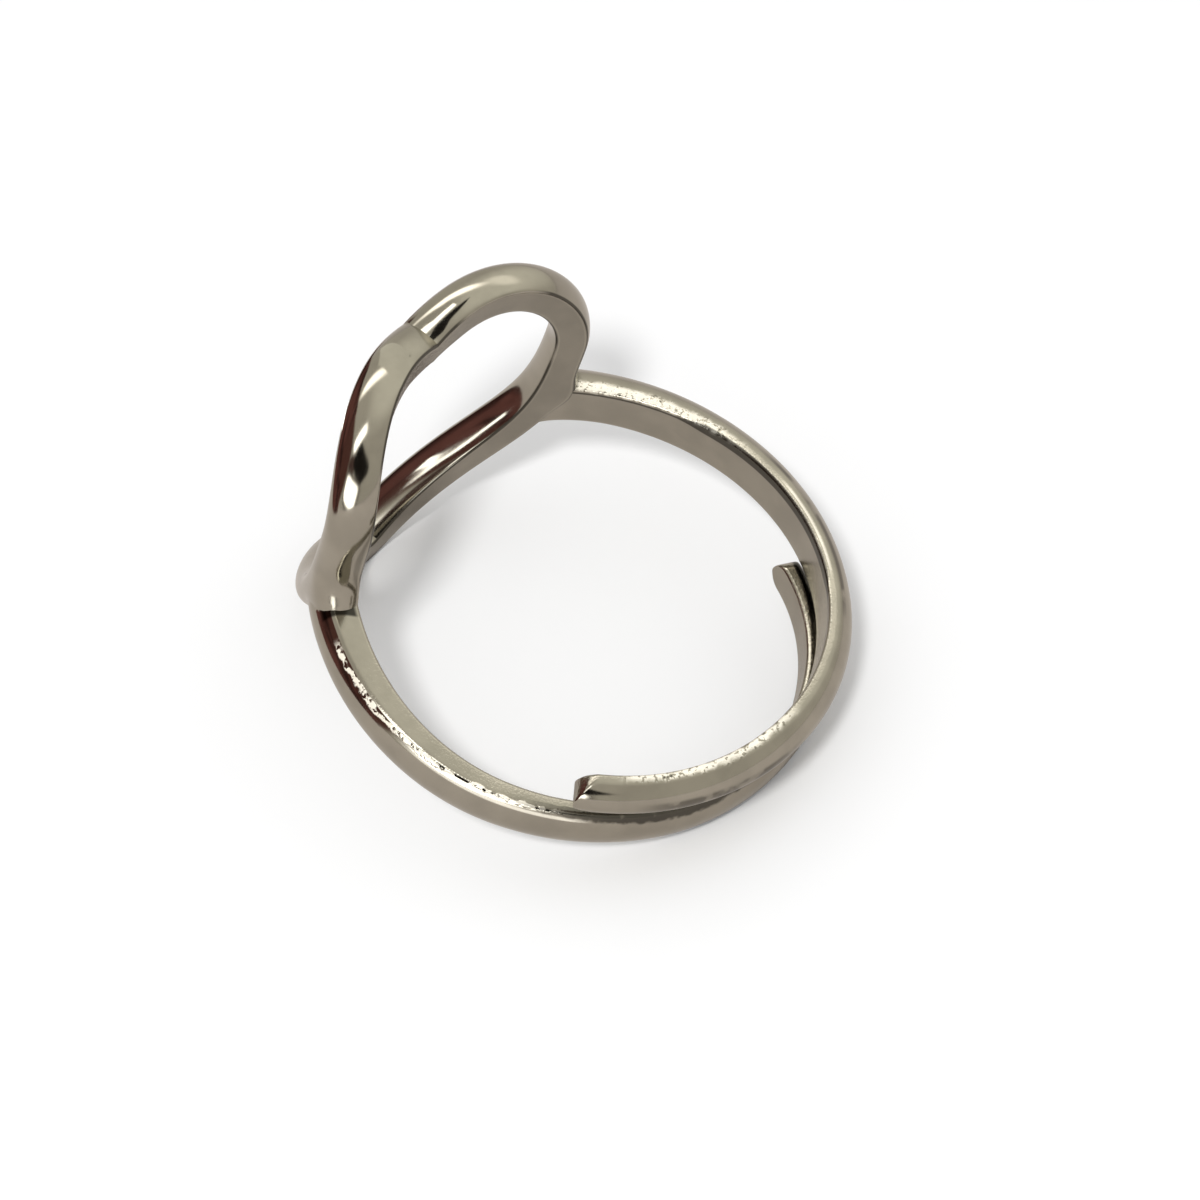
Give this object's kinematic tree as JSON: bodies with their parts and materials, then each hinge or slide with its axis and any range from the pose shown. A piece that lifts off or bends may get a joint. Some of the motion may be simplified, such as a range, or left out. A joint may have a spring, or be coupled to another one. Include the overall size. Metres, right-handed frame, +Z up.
{
  "type": "adjustable finger ring",
  "caption": "Open adjustable finger ring in polished metal, with an open heart outline as its head and two arms that overlap at the back.",
  "frame": {"origin": "centre of the bounding box in plan, on the surface that the ring lies on", "axes": "+Z up from the surface, close to the finger's axis, which leans about 17 degrees towards +Y; -Y towards the heart; +X along the ring's width, on the side of the lower arm"},
  "size_m": [0.0196, 0.0214, 0.0144],
  "materials": {
    "metal": "polished"
  },
  "bodies": {
    "root": {"ring": "metal"}
  },
  "joints": []
}
